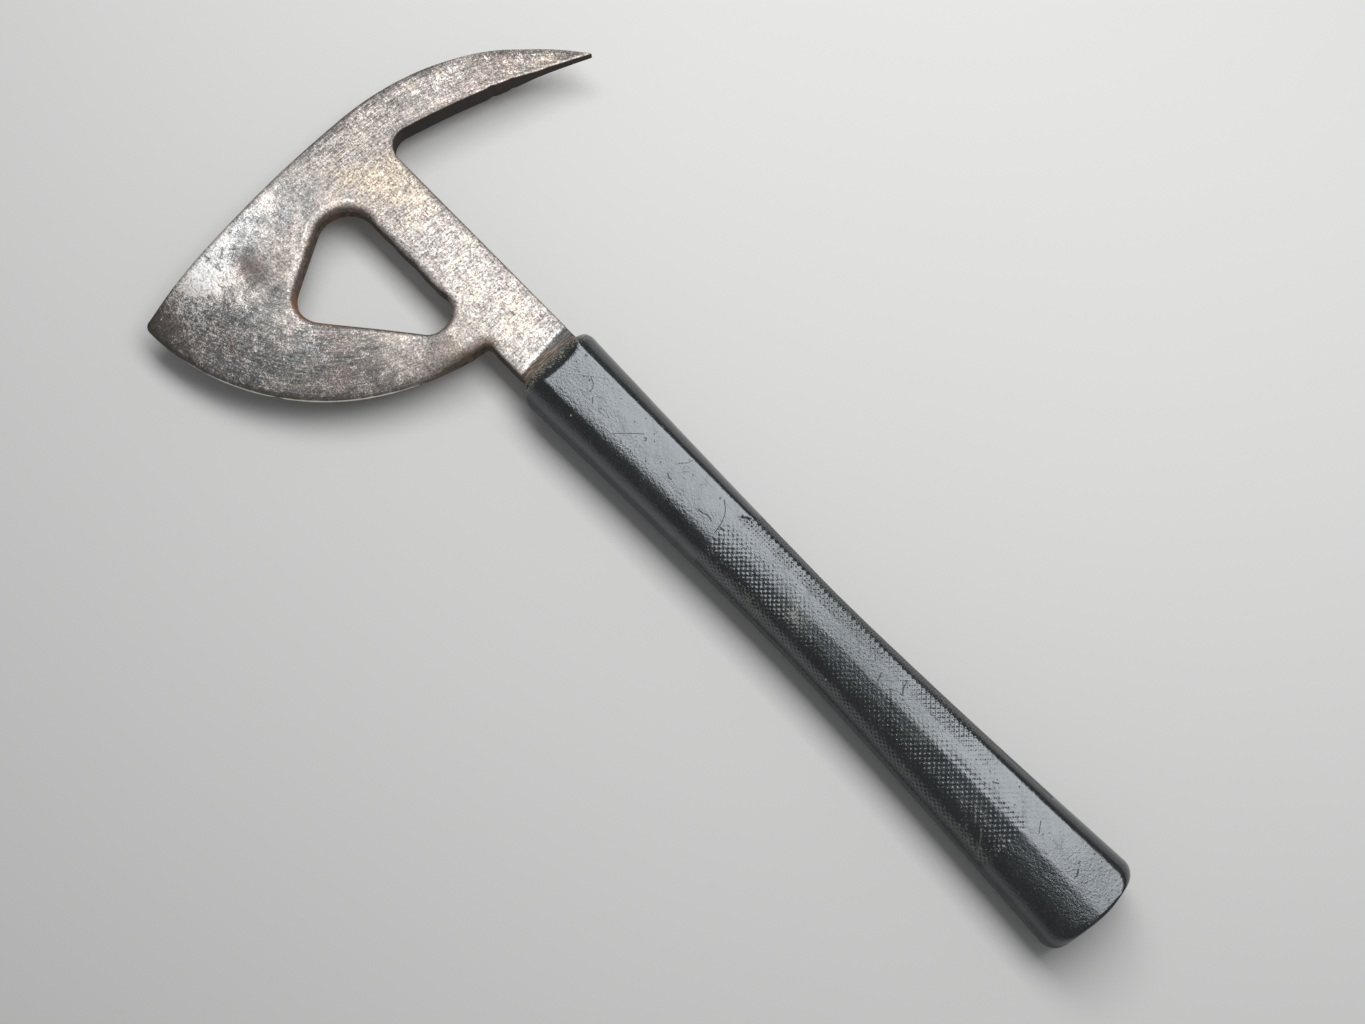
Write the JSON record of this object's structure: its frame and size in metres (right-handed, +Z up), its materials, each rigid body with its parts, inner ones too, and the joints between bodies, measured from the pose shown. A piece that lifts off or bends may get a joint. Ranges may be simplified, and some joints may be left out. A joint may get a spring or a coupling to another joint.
{
  "type": "escape axe",
  "caption": "Escape axe with a forged steel blade, curved pick, open head and flat shank, and a hard rubber grip moulded over its tang.",
  "frame": {"origin": "centre of the grip's flat underside, in the middle of the grip's length, under the handle axis", "axes": "+X along the handle to the butt, +Y to the pick with the blade on -Y, +Z up through the thickness as the axe lies flat"},
  "size_m": [0.4049, 0.1975, 0.028],
  "materials": {
    "forged_steel": "worn, brushed and patinated",
    "hard_rubber": "aged semi-gloss, chequered where the hand holds it"
  },
  "bodies": {
    "root": {"axe_forging": "forged_steel", "rubber_grip": "hard_rubber"}
  },
  "joints": []
}
